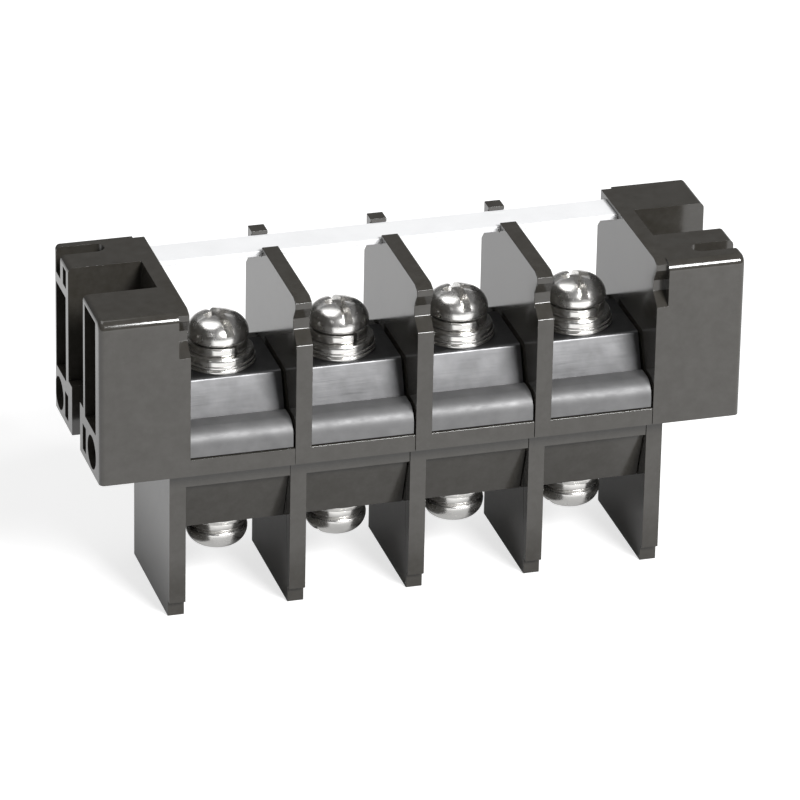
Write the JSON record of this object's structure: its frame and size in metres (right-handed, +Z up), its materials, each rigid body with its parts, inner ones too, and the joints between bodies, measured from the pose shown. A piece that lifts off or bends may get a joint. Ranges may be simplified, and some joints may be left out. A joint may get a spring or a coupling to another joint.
{
  "type": "barrier terminal strip",
  "caption": "Panel feed-through terminal strip: dark moulded barriers between clamping screws above and below, sloped metal ramps, slotted end blocks, white marker strip.",
  "frame": {"origin": "centre of the footprint, on the plane that the lower barriers stand on", "axes": "+X along the strip from the left block to the right one, +Y from the front edge to the back, +Z up through the panel"},
  "size_m": [0.1068, 0.0316, 0.0552],
  "materials": {
    "housing": "satin moulded surface",
    "marker": "smooth",
    "conductor": "satin nickel plating",
    "screw": "bright nickel plating",
    "spring_washer": "bright nickel plating",
    "flat_washer": "bright nickel plating",
    "tie_hardware": "zinc plating"
  },
  "bodies": {
    "strip": {"left_end_housing": "housing", "pole_housing_2": "housing", "pole_housing_3": "housing", "pole_housing_4": "housing", "right_end_housing": "housing", "conductor_1": "conductor", "conductor_2": "conductor", "conductor_3": "conductor", "conductor_4": "conductor", "marker_strip": "marker", "tie_screw_front": "tie_hardware", "tie_screw_rear": "tie_hardware", "tie_nut_front": "tie_hardware", "tie_nut_rear": "tie_hardware"},
    "upper_washer_pair_1": {"upper_flat_washer_1": "flat_washer", "upper_spring_washer_1": "spring_washer"},
    "upper_clamp_1": {"upper_screw_1": "screw"},
    "upper_washer_pair_2": {"upper_flat_washer_2": "flat_washer", "upper_spring_washer_2": "spring_washer"},
    "upper_clamp_2": {"upper_screw_2": "screw"},
    "upper_washer_pair_3": {"upper_flat_washer_3": "flat_washer", "upper_spring_washer_3": "spring_washer"},
    "upper_clamp_3": {"upper_screw_3": "screw"},
    "upper_washer_pair_4": {"upper_flat_washer_4": "flat_washer", "upper_spring_washer_4": "spring_washer"},
    "upper_clamp_4": {"upper_screw_4": "screw"},
    "lower_washer_pair_1": {"lower_flat_washer_1": "flat_washer", "lower_spring_washer_1": "spring_washer"},
    "lower_clamp_1": {"lower_screw_1": "screw"},
    "lower_washer_pair_2": {"lower_flat_washer_2": "flat_washer", "lower_spring_washer_2": "spring_washer"},
    "lower_clamp_2": {"lower_screw_2": "screw"},
    "lower_washer_pair_3": {"lower_flat_washer_3": "flat_washer", "lower_spring_washer_3": "spring_washer"},
    "lower_clamp_3": {"lower_screw_3": "screw"},
    "lower_washer_pair_4": {"lower_flat_washer_4": "flat_washer", "lower_spring_washer_4": "spring_washer"},
    "lower_clamp_4": {"lower_screw_4": "screw"}
  },
  "joints": [
    {"name": "upper_lift_1", "type": "slide", "parent": "strip", "child": "upper_washer_pair_1", "axis": [0, 0, 1], "range_m": [0, 0.004]},
    {"name": "upper_turn_1", "type": "hinge", "parent": "upper_washer_pair_1", "child": "upper_clamp_1", "pos_m": [-0.0306, -0.0015, 0.0399], "axis": [0, 0, 1], "range_deg": [0, 1805]},
    {"name": "upper_lift_2", "type": "slide", "parent": "strip", "child": "upper_washer_pair_2", "axis": [0, 0, 1], "range_m": [0, 0.004]},
    {"name": "upper_turn_2", "type": "hinge", "parent": "upper_washer_pair_2", "child": "upper_clamp_2", "pos_m": [-0.0106, -0.0015, 0.0399], "axis": [0, 0, 1], "range_deg": [0, 1805]},
    {"name": "upper_lift_3", "type": "slide", "parent": "strip", "child": "upper_washer_pair_3", "axis": [0, 0, 1], "range_m": [0, 0.004]},
    {"name": "upper_turn_3", "type": "hinge", "parent": "upper_washer_pair_3", "child": "upper_clamp_3", "pos_m": [0.0094, -0.0015, 0.0399], "axis": [0, 0, 1], "range_deg": [0, 1805]},
    {"name": "upper_lift_4", "type": "slide", "parent": "strip", "child": "upper_washer_pair_4", "axis": [0, 0, 1], "range_m": [0, 0.004]},
    {"name": "upper_turn_4", "type": "hinge", "parent": "upper_washer_pair_4", "child": "upper_clamp_4", "pos_m": [0.0294, -0.0015, 0.0399], "axis": [0, 0, 1], "range_deg": [0, 1805]},
    {"name": "lower_lift_1", "type": "slide", "parent": "strip", "child": "lower_washer_pair_1", "axis": [0, 0, -1], "range_m": [0, 0.004]},
    {"name": "lower_turn_1", "type": "hinge", "parent": "lower_washer_pair_1", "child": "lower_clamp_1", "pos_m": [-0.0306, -0.0015, 0.0145], "axis": [0, 0, -1], "range_deg": [0, 1805]},
    {"name": "lower_lift_2", "type": "slide", "parent": "strip", "child": "lower_washer_pair_2", "axis": [0, 0, -1], "range_m": [0, 0.004]},
    {"name": "lower_turn_2", "type": "hinge", "parent": "lower_washer_pair_2", "child": "lower_clamp_2", "pos_m": [-0.0106, -0.0015, 0.0145], "axis": [0, 0, -1], "range_deg": [0, 1805]},
    {"name": "lower_lift_3", "type": "slide", "parent": "strip", "child": "lower_washer_pair_3", "axis": [0, 0, -1], "range_m": [0, 0.004]},
    {"name": "lower_turn_3", "type": "hinge", "parent": "lower_washer_pair_3", "child": "lower_clamp_3", "pos_m": [0.0094, -0.0015, 0.0145], "axis": [0, 0, -1], "range_deg": [0, 1805]},
    {"name": "lower_lift_4", "type": "slide", "parent": "strip", "child": "lower_washer_pair_4", "axis": [0, 0, -1], "range_m": [0, 0.004]},
    {"name": "lower_turn_4", "type": "hinge", "parent": "lower_washer_pair_4", "child": "lower_clamp_4", "pos_m": [0.0294, -0.0015, 0.0145], "axis": [0, 0, -1], "range_deg": [0, 1805]}
  ],
  "couplings": [
    {"joint": "upper_turn_1", "follows": "upper_lift_1", "rad_per_m": 7854},
    {"joint": "upper_turn_2", "follows": "upper_lift_2", "rad_per_m": 7854},
    {"joint": "upper_turn_3", "follows": "upper_lift_3", "rad_per_m": 7854},
    {"joint": "upper_turn_4", "follows": "upper_lift_4", "rad_per_m": 7854},
    {"joint": "lower_turn_1", "follows": "lower_lift_1", "rad_per_m": 7854},
    {"joint": "lower_turn_2", "follows": "lower_lift_2", "rad_per_m": 7854},
    {"joint": "lower_turn_3", "follows": "lower_lift_3", "rad_per_m": 7854},
    {"joint": "lower_turn_4", "follows": "lower_lift_4", "rad_per_m": 7854}
  ]
}
